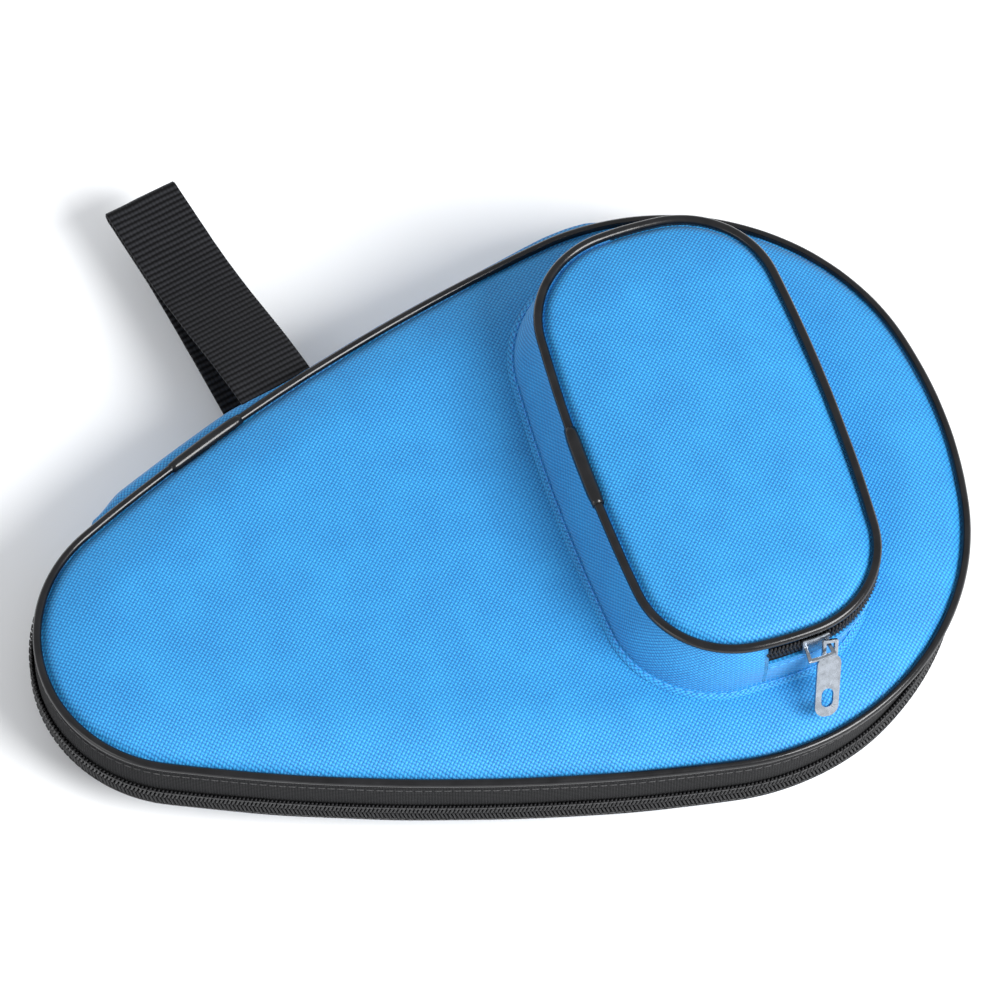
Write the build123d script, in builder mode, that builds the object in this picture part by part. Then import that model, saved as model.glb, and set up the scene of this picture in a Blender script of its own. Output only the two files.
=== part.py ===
from build123d import *
from math import acos, asin, atan2, cos, degrees, radians, sin
import os

# Table-tennis paddle case, a zipped gourd with a ball pocket on its lid.
# Millimetres. X runs along the case towards the blade end, Y across it towards
# the hinge gusset, Z up from the back face that the case lies on.

# ---------------------------------------------------------------- driving sizes
# Gourd outline of the panels: tangent arcs, mirrored about the X axis.
tip_x = 146.3
tip_radius = 150
tip_angle = 12
shoulder_radius = 83
shoulder_angle = 100
side_radius = 640
end_radius = 46

# Seams, walls and layers.
piping_radius = 1.3
splice_radius = 1.7
splice_length = 28
splice_angle = 111.5
back_seam_z = 3
front_seam_z = 39
fabric = 1
back_dome = 2.8
front_dome = 6
back_dome_run = 18
front_dome_run = 22
wall_inner = 0.4
wall_outer = 1.5
seam_clearance = 2.1
back_inset = 7
tuck_z = 15.2
binding_inner = -1.4
binding_outer = 0.1
binding_width = 4.2
layer_edge = -1.8
layer_gap = 0.1
lining = 0.8
back_lining_z = 6.5
front_lining_z = 34.6

# Main zip, at mid height all round except along the hinge gusset.
zip_z = (back_seam_z + front_seam_z) / 2
zip_gap = 1
coil_height = 3.5
coil_outer = 2.9
gusset_blade_angle = 84
gusset_end_angle = 105
gusset_cut_inside = 62
gusset_cut_outside = 125
butt_gap = 0.4

# Main slider, on the shoulder arc next to the gusset.
slider_angle = 80.5
slider_half_length = 4.5
slider_half_height = 5.2
slider_clearance = 0.4
slider_notch_out = 6
plate = 1.2
post_half = 0.6
bridge_half_width = 0.8
bridge_rise = 2.7
bridge_half_window = 2.5
bridge_bar = 1

# Pull tabs of both zips.
tab_width = 8
tab_root_width = 5.2
tab_corner = 3.6
tab_thickness = 1
tab_bar = 1
main_tab_length = 24.5
main_tab_lift = 4
pocket_tab_length = 24
pocket_tab_lean = 32
pocket_tab_swing = -18
tab_hole = 4
tab_hole_run = 2.4
tab_hole_inset = 6.4
main_slot_end = 4.9
main_slot_half = 1.3
pocket_bar_start = -2.2
pocket_slot_end = 2.6
pocket_slot_half = 1.4

# Carrying loop of webbing, on the gusset.
webbing_width = 25
webbing = 1.6
handle_angle = 108.7
handle_heading = 102
handle_length = 94
handle_root = 15.4
handle_root_rise = 12.5
handle_fold = 2.4
sewn_end_length = 2.2
sewn_end_start = 1.9

# Ball pocket on the lid: tangent arcs, symmetric about both its axes.
pocket_x = 69
pocket_half_width = 39
pocket_side_radius = 600
pocket_side_angle = 4.5
pocket_corner_radius = 30
pocket_end_radius = 120
pocket_floor_z = front_seam_z + front_dome
pocket_seam_z = 72
pocket_wall = 1.2
pocket_hem_width = 4
pocket_hem = 1
pocket_fold_x = 63
pocket_fold_gap = 0.3
fixed_x = pocket_fold_x - pocket_fold_gap
flap_x = pocket_fold_x + pocket_fold_gap
pocket_zip_z = 66
pocket_zip_top = 70.3
pocket_zip_bottom = 60.5
pocket_tape = 0.9
pocket_coil_outer = 2.2
pocket_coil_height = 2.1
pocket_zip_gap = 0.9
pocket_slider_angle = -87
pocket_slider_half_length = 4
pocket_slider_half_height = 4.1
pocket_plate = 1
bail_half_width = 0.5
bail_depth = 4.2
bail_half_window = 3
bail_bar = 1
bail_crown = 1.2


# ------------------------------------------------------------ outline geometry
def polar(centre, radius, angle):
    """The point at a radius and angle from a centre."""
    return (centre[0] + radius * cos(radians(angle)), centre[1] + radius * sin(radians(angle)))


tip_centre = (tip_x - tip_radius, 0)
shoulder_centre = polar(tip_centre, tip_radius - shoulder_radius, tip_angle)
side_centre = polar(shoulder_centre, shoulder_radius - side_radius, shoulder_angle)
end_angle = 180 - degrees(asin(-side_centre[1] / (side_radius - end_radius)))
end_centre = polar(side_centre, side_radius - end_radius, end_angle)

pocket_right_x = pocket_x + pocket_half_width - pocket_side_radius
pocket_left_x = 2 * pocket_x - pocket_right_x
pocket_corner = polar((pocket_right_x, 0), pocket_side_radius - pocket_corner_radius, pocket_side_angle)
pocket_corner_dx = pocket_corner[0] - pocket_x
pocket_corner_y = pocket_corner[1]
pocket_end_angle = degrees(acos(pocket_corner_dx / (pocket_end_radius - pocket_corner_radius)))
pocket_end_y = pocket_corner_y - (pocket_end_radius - pocket_corner_radius) * sin(radians(pocket_end_angle))
slider_corner = (pocket_x + pocket_corner_dx, -pocket_corner_y)


def case_arcs(growth):
    """Arcs of the gourd outline grown outwards, anticlockwise: centre, radius, start, size."""
    upper = [
        (shoulder_centre, shoulder_radius + growth, tip_angle, shoulder_angle - tip_angle),
        (side_centre, side_radius + growth, shoulder_angle, end_angle - shoulder_angle),
    ]
    lower = [((x, -y), radius, -start - size, size) for (x, y), radius, start, size in reversed(upper)]
    tip = (tip_centre, tip_radius + growth, -tip_angle, 2 * tip_angle)
    end = (end_centre, end_radius + growth, end_angle, 360 - 2 * end_angle)
    return [tip, *upper, end, *lower]


def pocket_arcs(growth):
    """Arcs of the pocket outline grown outwards, anticlockwise from its blade side."""
    side = pocket_side_angle
    end = pocket_end_angle
    arcs = []
    for turn, half, side_x in ((0, 1, pocket_right_x), (180, -1, pocket_left_x)):
        first = (pocket_x + half * pocket_corner_dx, half * pocket_corner_y)
        second = (pocket_x - half * pocket_corner_dx, half * pocket_corner_y)
        arcs += [
            ((side_x, 0), pocket_side_radius + growth, turn - side, 2 * side),
            (first, pocket_corner_radius + growth, turn + side, end - side),
            ((pocket_x, half * pocket_end_y), pocket_end_radius + growth, turn + end, 180 - 2 * end),
            (second, pocket_corner_radius + growth, turn + 180 - end, end - side),
        ]
    return arcs


def outline(arcs, z):
    """A face inside closed arcs, at a height."""
    with BuildSketch(Plane.XY.offset(z)) as sketch:
        with BuildLine():
            for arc in arcs:
                CenterArc(*arc)
        make_face()
    return sketch.sketch


def ring(shape, inner, outer, z):
    """A face between two growths of an outline, at a height."""
    with BuildSketch(Plane.XY.offset(z)) as sketch:
        add(outline(shape(outer), 0))
        add(outline(shape(inner), 0), mode=Mode.SUBTRACT)
    return sketch.sketch


def wall_band(bottom, top):
    """The wall under the zip is drawn in towards the back seam, and it stands straight above."""
    with BuildPart() as band:
        for growth, mode in ((wall_outer, Mode.ADD), (wall_inner, Mode.SUBTRACT)):
            add(outline(case_arcs(growth - back_inset), bottom))
            add(outline(case_arcs(growth), tuck_z))
            loft(ruled=True, mode=mode)
            extrude(outline(case_arcs(growth), tuck_z), amount=top - tuck_z, mode=mode)
    return band.part


def sector(centre, inner, outer, middle, half_angle, z):
    """A face between two radii, half_angle to each side of the middle angle."""
    start = middle - half_angle
    with BuildSketch(Plane.XY.offset(z)) as sketch:
        with BuildLine():
            near = CenterArc(centre, inner, start, 2 * half_angle)
            far = CenterArc(centre, outer, start, 2 * half_angle)
            Line(near @ 0, far @ 0)
            Line(near @ 1, far @ 1)
        make_face()
    return sketch.sketch


def gusset_side(gap, z):
    """A face over the hinge gusset's stretch of the rim, grown by gap at both ends."""
    blade = gusset_blade_angle - degrees(gap / shoulder_radius)
    end = gusset_end_angle + degrees(gap / end_radius)
    corners = [
        polar(shoulder_centre, gusset_cut_inside, blade),
        polar(shoulder_centre, gusset_cut_outside, blade),
        polar(end_centre, gusset_cut_outside, end),
        polar(end_centre, end_radius / 2, end),
    ]
    with BuildSketch(Plane.XY.offset(z)) as sketch:
        Polygon(*corners, align=None)
    return sketch.sketch


def half_plane(x, side, z):
    """A large face to one side of a line across the case: side is 1 or -1."""
    reach = 2 * tip_radius
    with BuildSketch(Plane.XY.offset(z)) as sketch:
        with Locations((x + side * reach / 2, 0)):
            Rectangle(reach, reach)
    return sketch.sketch


def tab_face(plane, bar_start, slot_end, slot_half, length):
    """A pull tab's face: x runs along the tab from its pivot, y across it."""
    slot_start = bar_start + tab_bar
    root_end = slot_end + tab_bar
    with BuildSketch(plane) as sketch:
        with Locations(((bar_start + root_end) / 2, 0)):
            RectangleRounded(root_end - bar_start, tab_root_width, tab_bar / 2)
        with Locations(((slot_end + length) / 2, 0)):
            RectangleRounded(length - slot_end, tab_width, tab_corner)
        with Locations(((slot_start + slot_end) / 2, 0)):
            Rectangle(slot_end - slot_start, 2 * slot_half, mode=Mode.SUBTRACT)
        with Locations((length - tab_hole_inset, 0)):
            SlotCenterToCenter(tab_hole_run, tab_hole, mode=Mode.SUBTRACT)
    return sketch.sketch


def rim_line(shape, growth, z):
    """The closed line of an outline at a height."""
    with BuildLine(Plane.XY.offset(z)) as line:
        for arc in shape(growth):
            CenterArc(*arc)
    return line.wire()


def arc_line(centre, radius, middle, length, z):
    """An arc of a given length about a middle angle, at a height."""
    size = degrees(length / radius)
    with BuildLine(Plane.XY.offset(z)) as line:
        CenterArc(centre, radius, middle - size / 2, size)
    return line.wire()


def round_section(path, radius):
    """A round face square to a path's start."""
    with BuildSketch(Plane(origin=path @ 0, z_dir=path % 0)) as sketch:
        Circle(radius)
    return sketch.sketch


def save(part, label):
    """Label a finished piece and write it under its own name."""
    part.label = label
    export_step(part, "parts/" + label + ".step")


os.makedirs("parts", exist_ok=True)

# ------------------------------------------------------- back shell: padded tray
back_layer_z = back_dome + fabric
back_layer_edge = layer_edge - back_inset
with BuildPart() as back_panel:
    add(outline(case_arcs(-back_inset - back_dome_run), 0))
    add(outline(case_arcs(-back_inset), back_dome))
    loft(ruled=True)
    extrude(outline(case_arcs(-back_inset), back_dome), amount=fabric)
    add(outline(case_arcs(-back_inset - back_dome_run), fabric))
    add(outline(case_arcs(-back_inset - fabric), back_layer_z))
    loft(ruled=True, mode=Mode.SUBTRACT)
save(back_panel.part, "back_panel")

with BuildPart() as back_foam:
    add(outline(case_arcs(-back_inset - back_dome_run - fabric), fabric + layer_gap))
    add(outline(case_arcs(back_layer_edge), back_layer_z + layer_gap))
    loft(ruled=True)
    extrude(
        outline(case_arcs(back_layer_edge), back_layer_z + layer_gap),
        amount=back_lining_z - back_layer_z - 2 * layer_gap,
    )
save(back_foam.part, "back_foam")

with BuildPart() as back_lining:
    extrude(outline(case_arcs(back_layer_edge), back_lining_z), amount=lining)
save(back_lining.part, "back_lining")

with BuildPart() as back_piping:
    rim = rim_line(case_arcs, piping_radius - back_inset, back_seam_z)
    sweep(round_section(rim, piping_radius), path=rim)
save(back_piping.part, "back_piping")

# The cord's two ends overlap under a short sleeve of the same skin.
with BuildPart() as back_piping_splice:
    lap_radius = side_radius + piping_radius - back_inset
    lap = arc_line(side_centre, lap_radius, splice_angle, splice_length, back_seam_z)
    sweep(round_section(lap, splice_radius), path=lap)
    sweep(round_section(lap, piping_radius), path=lap, mode=Mode.SUBTRACT)
save(back_piping_splice.part, "back_piping_splice")

# --------------------------------------------------------- walls between the rims
wall_bottom = back_seam_z + seam_clearance
wall_top = front_seam_z - seam_clearance
wall_height = wall_top - wall_bottom
gusset_wall = wall_band(wall_bottom, wall_top)
with BuildPart() as hinge_gusset:
    add(gusset_wall)
    extrude(gusset_side(0, wall_bottom), amount=wall_height, mode=Mode.INTERSECT)
save(hinge_gusset.part, "hinge_gusset")

with BuildPart() as back_seam_binding:
    inner = binding_inner - back_inset
    outer = binding_outer - back_inset
    extrude(ring(case_arcs, inner, outer, wall_bottom), amount=binding_width)
save(back_seam_binding.part, "back_seam_binding")

tape_height = wall_height / 2 - zip_gap
tape_wall = wall_band(wall_bottom, wall_bottom + tape_height)
with BuildPart() as back_zip_tape:
    add(tape_wall)
    extrude(gusset_side(butt_gap, wall_bottom), amount=tape_height, mode=Mode.SUBTRACT)
save(back_zip_tape.part, "back_zip_tape")

back_coil_z = zip_z - zip_gap - coil_height
with BuildPart() as back_zip_coil:
    extrude(ring(case_arcs, wall_outer, coil_outer, back_coil_z), amount=coil_height)
    extrude(gusset_side(butt_gap, back_coil_z), amount=coil_height, mode=Mode.SUBTRACT)
save(back_zip_coil.part, "back_zip_coil")

# ----------------------------------------------------- front shell: padded lid
front_layer_z = front_seam_z - fabric
front_top_z = front_seam_z + front_dome
with BuildPart() as front_panel:
    add(outline(case_arcs(0), front_seam_z))
    add(outline(case_arcs(-front_dome_run), front_top_z))
    loft(ruled=True)
    extrude(outline(case_arcs(0), front_layer_z), amount=fabric)
    add(outline(case_arcs(-fabric), front_layer_z))
    add(outline(case_arcs(-front_dome_run), front_top_z - fabric))
    loft(ruled=True, mode=Mode.SUBTRACT)
save(front_panel.part, "front_panel")

foam_bottom_z = front_lining_z + lining + layer_gap
with BuildPart() as front_foam:
    add(outline(case_arcs(layer_edge), front_layer_z - layer_gap))
    add(outline(case_arcs(-front_dome_run - fabric), front_top_z - fabric - layer_gap))
    loft(ruled=True)
    extrude(outline(case_arcs(layer_edge), foam_bottom_z), amount=front_layer_z - layer_gap - foam_bottom_z)
save(front_foam.part, "front_foam")

with BuildPart() as front_lining:
    extrude(outline(case_arcs(layer_edge), front_lining_z), amount=lining)
save(front_lining.part, "front_lining")

with BuildPart() as front_piping:
    rim = rim_line(case_arcs, piping_radius, front_seam_z)
    sweep(round_section(rim, piping_radius), path=rim)
save(front_piping.part, "front_piping")

with BuildPart() as front_piping_splice:
    lap = arc_line(side_centre, side_radius + piping_radius, splice_angle, splice_length, front_seam_z)
    sweep(round_section(lap, splice_radius), path=lap)
    sweep(round_section(lap, piping_radius), path=lap, mode=Mode.SUBTRACT)
save(front_piping_splice.part, "front_piping_splice")

with BuildPart() as front_seam_binding:
    extrude(ring(case_arcs, binding_inner, binding_outer, wall_top - binding_width), amount=binding_width)
save(front_seam_binding.part, "front_seam_binding")

# The lid's half of the zip starts past the slider, and its tape steps over it.
slider_half_angle = degrees(slider_half_length / shoulder_radius)
notch_half_angle = gusset_blade_angle - slider_angle
notch_top = zip_z + slider_half_height + slider_clearance
front_tape_z = zip_z + zip_gap
with BuildPart() as front_zip_tape:
    extrude(ring(case_arcs, wall_inner, wall_outer, front_tape_z), amount=tape_height)
    extrude(gusset_side(butt_gap, front_tape_z), amount=tape_height, mode=Mode.SUBTRACT)
    extrude(
        sector(shoulder_centre, shoulder_radius - plate, shoulder_radius + slider_notch_out,
               slider_angle, notch_half_angle, front_tape_z),
        amount=notch_top - front_tape_z,
        mode=Mode.SUBTRACT,
    )
save(front_zip_tape.part, "front_zip_tape")

with BuildPart() as front_zip_coil:
    extrude(ring(case_arcs, wall_outer, coil_outer, front_tape_z), amount=coil_height)
    extrude(gusset_side(butt_gap, front_tape_z), amount=coil_height, mode=Mode.SUBTRACT)
    extrude(
        sector(shoulder_centre, shoulder_radius, shoulder_radius + slider_notch_out,
               slider_angle, notch_half_angle, front_tape_z),
        amount=coil_height,
        mode=Mode.SUBTRACT,
    )
save(front_zip_coil.part, "front_zip_coil")

# -------------------------------------------------------------- main zip's slider
inner_plate_out = wall_inner - slider_clearance
outer_plate_in = coil_outer + slider_clearance
outer_plate_out = outer_plate_in + plate
slider_bottom = zip_z - slider_half_height
main_ring_radius = shoulder_radius + outer_plate_out
window_out = main_ring_radius + bridge_rise
with BuildPart() as main_slider_body:
    for inner in (inner_plate_out - plate, outer_plate_in):
        extrude(
            sector(shoulder_centre, shoulder_radius + inner, shoulder_radius + inner + plate,
                   slider_angle, slider_half_angle, slider_bottom),
            amount=2 * slider_half_height,
        )
    extrude(
        sector(shoulder_centre, shoulder_radius + inner_plate_out, shoulder_radius + outer_plate_in,
               slider_angle, degrees(post_half / shoulder_radius), zip_z - post_half),
        amount=2 * post_half,
    )
    bridge_half = bridge_half_window + bridge_bar
    extrude(
        sector(shoulder_centre, main_ring_radius, window_out + bridge_bar,
               slider_angle, degrees(bridge_half / window_out), zip_z - bridge_half_width),
        amount=2 * bridge_half_width,
    )
    extrude(
        sector(shoulder_centre, main_ring_radius, window_out,
               slider_angle, degrees(bridge_half_window / window_out), zip_z - bridge_half_width),
        amount=2 * bridge_half_width,
        mode=Mode.SUBTRACT,
    )
save(main_slider_body.part, "main_slider_body")

main_pivot = polar(shoulder_centre, main_ring_radius + bridge_rise / 2, slider_angle)
tab_heading = slider_angle - 90 + main_tab_lift
tab_plane = Plane(
    origin=(*main_pivot, zip_z),
    x_dir=(cos(radians(tab_heading)), sin(radians(tab_heading)), 0),
    z_dir=(sin(radians(tab_heading)), -cos(radians(tab_heading)), 0),
)
with BuildPart() as main_pull_tab:
    extrude(tab_face(tab_plane, -tab_bar / 2, main_slot_end, main_slot_half, main_tab_length),
            amount=tab_thickness / 2, both=True)
save(main_pull_tab.part, "main_pull_tab")

# ------------------------------------------------------------- carrying loop
handle_base = polar(side_centre, side_radius + wall_outer, handle_angle)
handle_out = (cos(radians(handle_heading)), sin(radians(handle_heading)), 0)
handle_across = (handle_out[1], -handle_out[0], 0)
handle_plane = Plane(origin=(*handle_base, zip_z), x_dir=handle_out, z_dir=handle_across)
leg_slope = atan2(handle_root_rise - handle_fold + webbing / 2, handle_length - handle_root)
leg_rise = webbing / cos(leg_slope)
with BuildPart() as handle_loop:
    with BuildSketch(handle_plane):
        with BuildLine():
            fold_x = handle_length - handle_fold
            upper = Line((handle_root, handle_root_rise + webbing / 2), (fold_x, handle_fold))
            ThreePointArc(upper @ 1, (handle_length, 0), (fold_x, -handle_fold))
            lower = Line((fold_x, -handle_fold), (handle_root, -handle_root_rise - webbing / 2))
            Line(lower @ 1, upper @ 0)
        make_face()
        inner_rise = handle_root_rise + webbing / 2 - leg_rise
        inner_fold = handle_fold - leg_rise
        Polygon(
            (handle_root, inner_rise),
            (fold_x, inner_fold),
            (fold_x, -inner_fold),
            (handle_root, -inner_rise),
            align=None,
            mode=Mode.SUBTRACT,
        )
    extrude(amount=webbing_width / 2, both=True)
save(handle_loop.part, "handle_loop")

# Where the webbing's two ends leave the seams of the gusset.
sewn_rise = wall_height / 2 - webbing / 2
lower_end_start = sewn_end_start - back_inset * (1 - webbing / (tuck_z - wall_bottom))
with BuildPart() as handle_sewn_ends:
    with BuildSketch(handle_plane):
        for start, rise in ((sewn_end_start, sewn_rise), (lower_end_start, -sewn_rise)):
            with Locations((start + sewn_end_length / 2, rise)):
                Rectangle(sewn_end_length, webbing)
    extrude(amount=webbing_width / 2, both=True)
save(handle_sewn_ends.part, "handle_sewn_ends")

# ------------------------------------------------------------------ ball pocket
with BuildPart() as pocket_base_hem:
    hem_inner = pocket_wall + layer_gap
    hem_outer = pocket_wall + pocket_hem_width
    extrude(ring(pocket_arcs, hem_inner, hem_outer, pocket_floor_z + layer_gap), amount=pocket_hem)
save(pocket_base_hem.part, "pocket_base_hem")

wall_z = pocket_floor_z + layer_gap
with BuildPart() as pocket_wall_band:
    extrude(ring(pocket_arcs, 0, pocket_wall, wall_z), amount=pocket_zip_top - wall_z)
    extrude(half_plane(fixed_x, 1, pocket_zip_bottom - layer_gap),
            amount=pocket_zip_top - pocket_zip_bottom + layer_gap, mode=Mode.SUBTRACT)
save(pocket_wall_band.part, "pocket_wall")

lower_height = pocket_zip_z - pocket_zip_gap - pocket_zip_bottom
with BuildPart() as pocket_lower_zip_tape:
    extrude(ring(pocket_arcs, 0, pocket_tape, pocket_zip_bottom), amount=lower_height)
    extrude(half_plane(pocket_fold_x, -1, pocket_zip_bottom), amount=lower_height, mode=Mode.SUBTRACT)
save(pocket_lower_zip_tape.part, "pocket_lower_zip_tape")

lower_coil_z = pocket_zip_z - pocket_zip_gap - pocket_coil_height
with BuildPart() as pocket_lower_zip_coil:
    extrude(ring(pocket_arcs, pocket_tape, pocket_coil_outer, lower_coil_z), amount=pocket_coil_height)
    extrude(half_plane(pocket_fold_x, -1, lower_coil_z), amount=pocket_coil_height, mode=Mode.SUBTRACT)
save(pocket_lower_zip_coil.part, "pocket_lower_zip_coil")

# The flap is the blade-side part of the top, with its own half of the zip.
upper_z = pocket_zip_z + pocket_zip_gap
with BuildPart() as pocket_upper_zip_tape:
    extrude(ring(pocket_arcs, 0, pocket_tape, upper_z), amount=pocket_zip_top - upper_z)
    extrude(half_plane(flap_x, -1, upper_z), amount=pocket_zip_top - upper_z, mode=Mode.SUBTRACT)
save(pocket_upper_zip_tape.part, "pocket_upper_zip_tape")

with BuildPart() as pocket_upper_zip_coil:
    extrude(ring(pocket_arcs, pocket_tape, pocket_coil_outer, upper_z), amount=pocket_coil_height)
    extrude(half_plane(flap_x, -1, upper_z), amount=pocket_coil_height, mode=Mode.SUBTRACT)
save(pocket_upper_zip_coil.part, "pocket_upper_zip_coil")

top_z = pocket_seam_z - fabric / 2
for label, cut_x, away in (("pocket_top_fixed", fixed_x, 1), ("pocket_top_flap", flap_x, -1)):
    with BuildPart() as pocket_top:
        extrude(outline(pocket_arcs(0), top_z), amount=fabric)
        extrude(half_plane(cut_x, away, top_z), amount=fabric, mode=Mode.SUBTRACT)
    save(pocket_top.part, label)

piping_bottom = pocket_seam_z - piping_radius
for label, cut_x, away in (("pocket_piping_fixed", fixed_x, 1), ("pocket_piping_flap", flap_x, -1)):
    with BuildPart() as pocket_piping:
        rim = rim_line(pocket_arcs, piping_radius, pocket_seam_z)
        sweep(round_section(rim, piping_radius), path=rim)
        extrude(half_plane(cut_x, away, piping_bottom), amount=2 * piping_radius, mode=Mode.SUBTRACT)
    save(pocket_piping.part, label)

with BuildPart() as pocket_piping_splice:
    lap = arc_line((pocket_left_x, 0), pocket_side_radius + piping_radius, 180, splice_length, pocket_seam_z)
    sweep(round_section(lap, splice_radius), path=lap)
    sweep(round_section(lap, piping_radius), path=lap, mode=Mode.SUBTRACT)
save(pocket_piping_splice.part, "pocket_piping_splice")

# ------------------------------------------------------------ pocket zip's slider
pocket_outer_in = pocket_corner_radius + pocket_coil_outer + slider_clearance
pocket_outer_out = pocket_outer_in + pocket_plate
pocket_inner_out = pocket_corner_radius - slider_clearance
pocket_half_angle = degrees(pocket_slider_half_length / pocket_corner_radius)
bail_window_out = pocket_outer_out + bail_depth
with BuildPart() as pocket_slider_body:
    for inner in (pocket_inner_out - pocket_plate, pocket_outer_in):
        extrude(
            sector(slider_corner, inner, inner + pocket_plate, pocket_slider_angle, pocket_half_angle,
                   pocket_zip_z - pocket_slider_half_height),
            amount=2 * pocket_slider_half_height,
        )
    extrude(
        sector(slider_corner, pocket_inner_out, pocket_outer_in, pocket_slider_angle,
               degrees(bail_half_width / pocket_corner_radius), pocket_zip_z - bail_half_width),
        amount=2 * bail_half_width,
    )
    bail_half = bail_half_window + bail_bar
    extrude(
        sector(slider_corner, pocket_outer_out, bail_window_out + bail_crown, pocket_slider_angle,
               degrees(bail_half / pocket_outer_out), pocket_zip_z - bail_half_width),
        amount=2 * bail_half_width,
    )
    extrude(
        sector(slider_corner, pocket_outer_out, bail_window_out, pocket_slider_angle,
               degrees(bail_half_window / pocket_outer_out), pocket_zip_z - bail_half_width),
        amount=2 * bail_half_width,
        mode=Mode.SUBTRACT,
    )
save(pocket_slider_body.part, "pocket_slider_body")

# The pull hangs on the bail's leg nearer the blade, leaning away from the wall
# and swung a little in its own plane.
leg_angle = pocket_slider_angle + degrees((bail_half_window + bail_bar / 2) / pocket_outer_out)
leg_point = polar(slider_corner, pocket_outer_out + bail_depth / 2, leg_angle)
lean = radians(pocket_tab_lean)
outward = (cos(radians(leg_angle)), sin(radians(leg_angle)))
along = (-outward[1], outward[0])
swing = radians(pocket_tab_swing)
hang_out = sin(lean) * cos(swing)
hang = (
    outward[0] * hang_out + along[0] * sin(swing),
    outward[1] * hang_out + along[1] * sin(swing),
    -cos(lean) * cos(swing),
)
hang_normal = (outward[0] * cos(lean), outward[1] * cos(lean), sin(lean))
hang_plane = Plane(origin=(*leg_point, pocket_zip_z), x_dir=hang, z_dir=hang_normal)
with BuildPart() as pocket_pull_tab:
    extrude(tab_face(hang_plane, pocket_bar_start, pocket_slot_end, pocket_slot_half, pocket_tab_length),
            amount=tab_thickness / 2, both=True)
save(pocket_pull_tab.part, "pocket_pull_tab")
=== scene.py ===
from contextlib import contextmanager
from math import acos, asin, cos, degrees, exp, pi, radians, sin, sqrt

import bmesh
import bpy
import numpy as np
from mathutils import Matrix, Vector, noise


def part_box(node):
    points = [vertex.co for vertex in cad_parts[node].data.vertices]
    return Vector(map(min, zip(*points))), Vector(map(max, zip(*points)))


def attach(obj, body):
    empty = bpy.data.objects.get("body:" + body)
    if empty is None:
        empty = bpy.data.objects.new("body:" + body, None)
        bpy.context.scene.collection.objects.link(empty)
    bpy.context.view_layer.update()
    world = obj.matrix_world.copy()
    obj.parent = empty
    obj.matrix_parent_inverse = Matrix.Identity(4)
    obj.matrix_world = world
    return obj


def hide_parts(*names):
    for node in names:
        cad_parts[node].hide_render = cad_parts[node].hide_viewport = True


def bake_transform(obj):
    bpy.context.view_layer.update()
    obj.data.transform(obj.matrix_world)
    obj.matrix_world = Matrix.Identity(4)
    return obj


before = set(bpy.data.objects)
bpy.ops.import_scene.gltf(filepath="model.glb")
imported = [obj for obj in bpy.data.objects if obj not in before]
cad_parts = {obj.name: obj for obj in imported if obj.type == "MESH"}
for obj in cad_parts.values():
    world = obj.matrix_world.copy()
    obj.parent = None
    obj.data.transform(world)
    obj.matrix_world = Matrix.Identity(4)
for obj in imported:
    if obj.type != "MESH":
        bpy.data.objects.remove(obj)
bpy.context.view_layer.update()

# ------------------------------------------------------------ driving dimensions
MM = 0.001

# Gourd outline of the panels: tangent arcs, the same ones as the CAD panels have.
TIP_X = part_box("front_panel")[1].x
TIP_R, SHOULDER_R, SIDE_R, END_R = 150 * MM, 83 * MM, 640 * MM, 46 * MM
TIP_ANGLE, SHOULDER_ANGLE = 12, 100

# Pocket outline, symmetric about both its axes.
pocket_low, pocket_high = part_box("pocket_wall")
POCKET_WALL = 1.2 * MM
POCKET_HALF = (pocket_high.x - pocket_low.x) / 2 - POCKET_WALL
POCKET_X = (pocket_high.x + pocket_low.x) / 2
POCKET_SIDE_R, POCKET_CORNER_R, POCKET_END_R = 600 * MM, 30 * MM, 120 * MM
POCKET_SIDE_ANGLE = 4.5


def seam_of(node):
    """Height and radius of a level piping cord."""
    low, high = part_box(node)
    return (low.z + high.z) / 2, (high.z - low.z) / 2


BACK_SEAM, PIPING = seam_of("back_piping")
FRONT_SEAM, _ = seam_of("front_piping")
POCKET_SEAM, _ = seam_of("pocket_piping_flap")
ZIP_Z = (BACK_SEAM + FRONT_SEAM) / 2
PANEL_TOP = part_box("front_panel")[1].z
DOME_RUN = 24 * MM
POCKET_ZIP_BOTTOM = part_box("pocket_lower_zip_tape")[0].z
POCKET_ZIP_Z = (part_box("pocket_lower_zip_tape")[1].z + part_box("pocket_upper_zip_tape")[0].z) / 2
FOLD_X = (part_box("pocket_top_fixed")[1].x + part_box("pocket_top_flap")[0].x) / 2
FABRIC = 1 * MM
SPLICE_LENGTH = 28 * MM

# The back rim is smaller than the lid's; the wall is drawn in to it below the zip.
BACK_INSET = 7 * MM
TUCK_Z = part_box("main_slider_body")[0].z


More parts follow.
